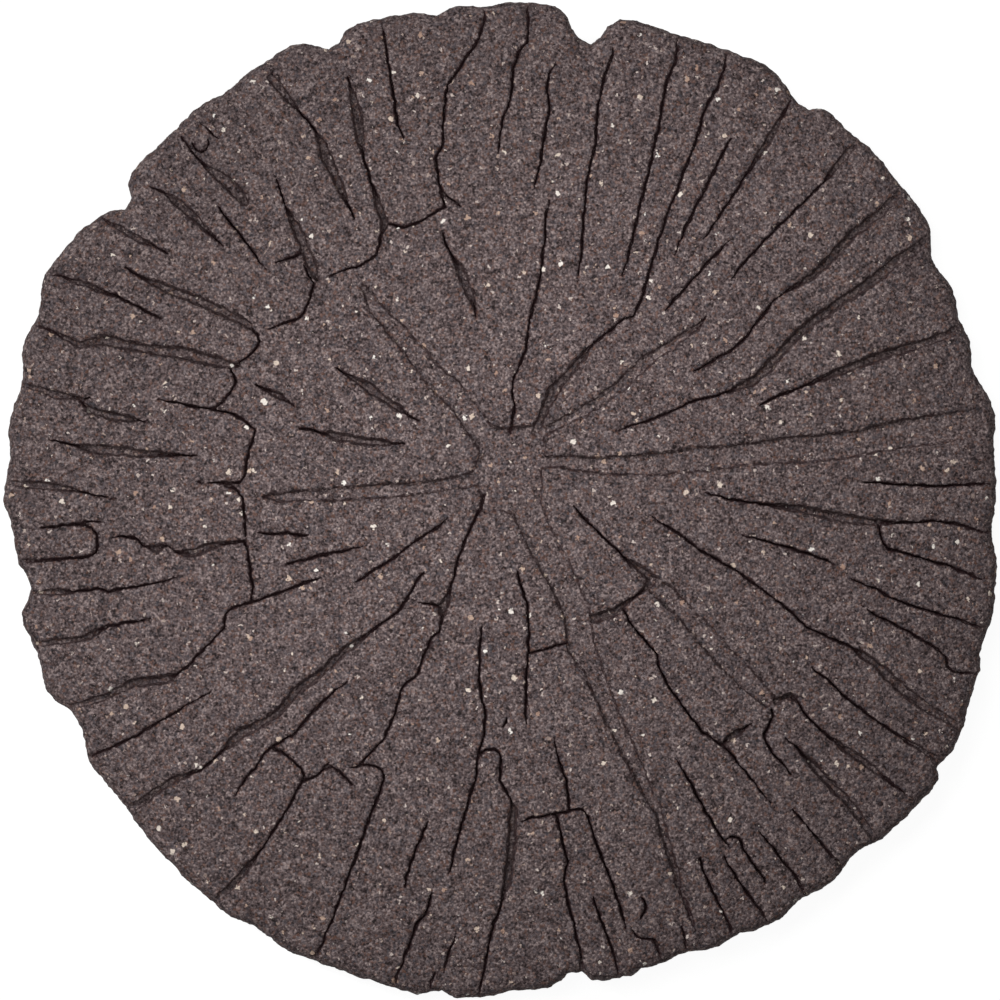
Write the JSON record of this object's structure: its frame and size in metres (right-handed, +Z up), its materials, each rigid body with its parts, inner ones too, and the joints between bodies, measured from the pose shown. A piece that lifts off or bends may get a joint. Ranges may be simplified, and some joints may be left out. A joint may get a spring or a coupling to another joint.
{
  "type": "garden stepping stone",
  "caption": "Round, flat garden stepping stone moulded from bonded rubber crumb, shaped like a log slice with a lobed rim and drying cracks in its top.",
  "frame": {"origin": "middle of the bounding box at the flat underside", "axes": "+Z up out of the cracked top; +X and +Y across the slice, to the right and to the top of the picture"},
  "size_m": [0.45, 0.4508, 0.02],
  "materials": {
    "crumb_rubber": "matt, coarse, bonded crumb"
  },
  "bodies": {
    "root": {"stepping_stone": "crumb_rubber"}
  },
  "joints": []
}
